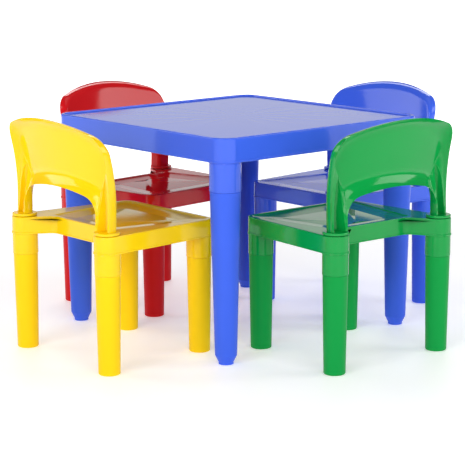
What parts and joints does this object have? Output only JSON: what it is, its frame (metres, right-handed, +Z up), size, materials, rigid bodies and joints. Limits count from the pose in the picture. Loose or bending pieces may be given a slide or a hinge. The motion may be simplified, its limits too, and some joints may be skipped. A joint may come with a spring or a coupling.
{
  "type": "kids table and chairs",
  "caption": "Low square plastic activity table with round plug-in legs, and small arched-back chairs in different colours standing at its sides.",
  "frame": {"origin": "on the floor at the middle of the whole group's footprint", "axes": "+Z up; +X from the yellow chair towards the blue chair; +Y from the green chair towards the red chair"},
  "size_m": [0.9514, 0.9218, 0.4672],
  "materials": {
    "blue_plastic": "high gloss injection moulded",
    "blue_satin_plastic": "satin moulded",
    "yellow_plastic": "high gloss injection moulded",
    "yellow_satin_plastic": "satin moulded",
    "green_plastic": "high gloss injection moulded",
    "green_satin_plastic": "satin moulded",
    "red_plastic": "high gloss injection moulded",
    "red_satin_plastic": "satin moulded"
  },
  "bodies": {
    "table": {"table_top": "blue_plastic", "table_leg_front_left": "blue_satin_plastic", "table_leg_front_right": "blue_satin_plastic", "table_leg_rear_left": "blue_satin_plastic", "table_leg_rear_right": "blue_satin_plastic"},
    "yellow_chair": {"yellow_seat": "yellow_plastic", "yellow_backrest": "yellow_plastic", "yellow_leg_front_left": "yellow_satin_plastic", "yellow_leg_front_right": "yellow_satin_plastic", "yellow_leg_rear_left": "yellow_satin_plastic", "yellow_leg_rear_right": "yellow_satin_plastic"},
    "green_chair": {"green_seat": "green_plastic", "green_backrest": "green_plastic", "green_leg_front_left": "green_satin_plastic", "green_leg_front_right": "green_satin_plastic", "green_leg_rear_left": "green_satin_plastic", "green_leg_rear_right": "green_satin_plastic"},
    "blue_chair": {"blue_seat": "blue_plastic", "blue_backrest": "blue_plastic", "blue_leg_front_left": "blue_satin_plastic", "blue_leg_front_right": "blue_satin_plastic", "blue_leg_rear_left": "blue_satin_plastic", "blue_leg_rear_right": "blue_satin_plastic"},
    "red_chair": {"red_seat": "red_plastic", "red_backrest": "red_plastic", "red_leg_front_left": "red_satin_plastic", "red_leg_front_right": "red_satin_plastic", "red_leg_rear_left": "red_satin_plastic", "red_leg_rear_right": "red_satin_plastic"}
  },
  "joints": [
    {"name": "yellow_chair_pull_out", "type": "slide", "parent": "table", "child": "yellow_chair", "axis": [-0.9999, 0.0105, 0], "range_m": [-0.012, 0.3]},
    {"name": "green_chair_pull_out", "type": "slide", "parent": "table", "child": "green_chair", "axis": [-0.0279, -0.9996, 0], "range_m": [-0.012, 0.3]},
    {"name": "blue_chair_pull_out", "type": "slide", "parent": "table", "child": "blue_chair", "axis": [0.9999, 0.0122, 0], "range_m": [-0.012, 0.3]},
    {"name": "red_chair_pull_out", "type": "slide", "parent": "table", "child": "red_chair", "axis": [-0.0976, 0.9952, 0], "range_m": [-0.012, 0.3]}
  ]
}
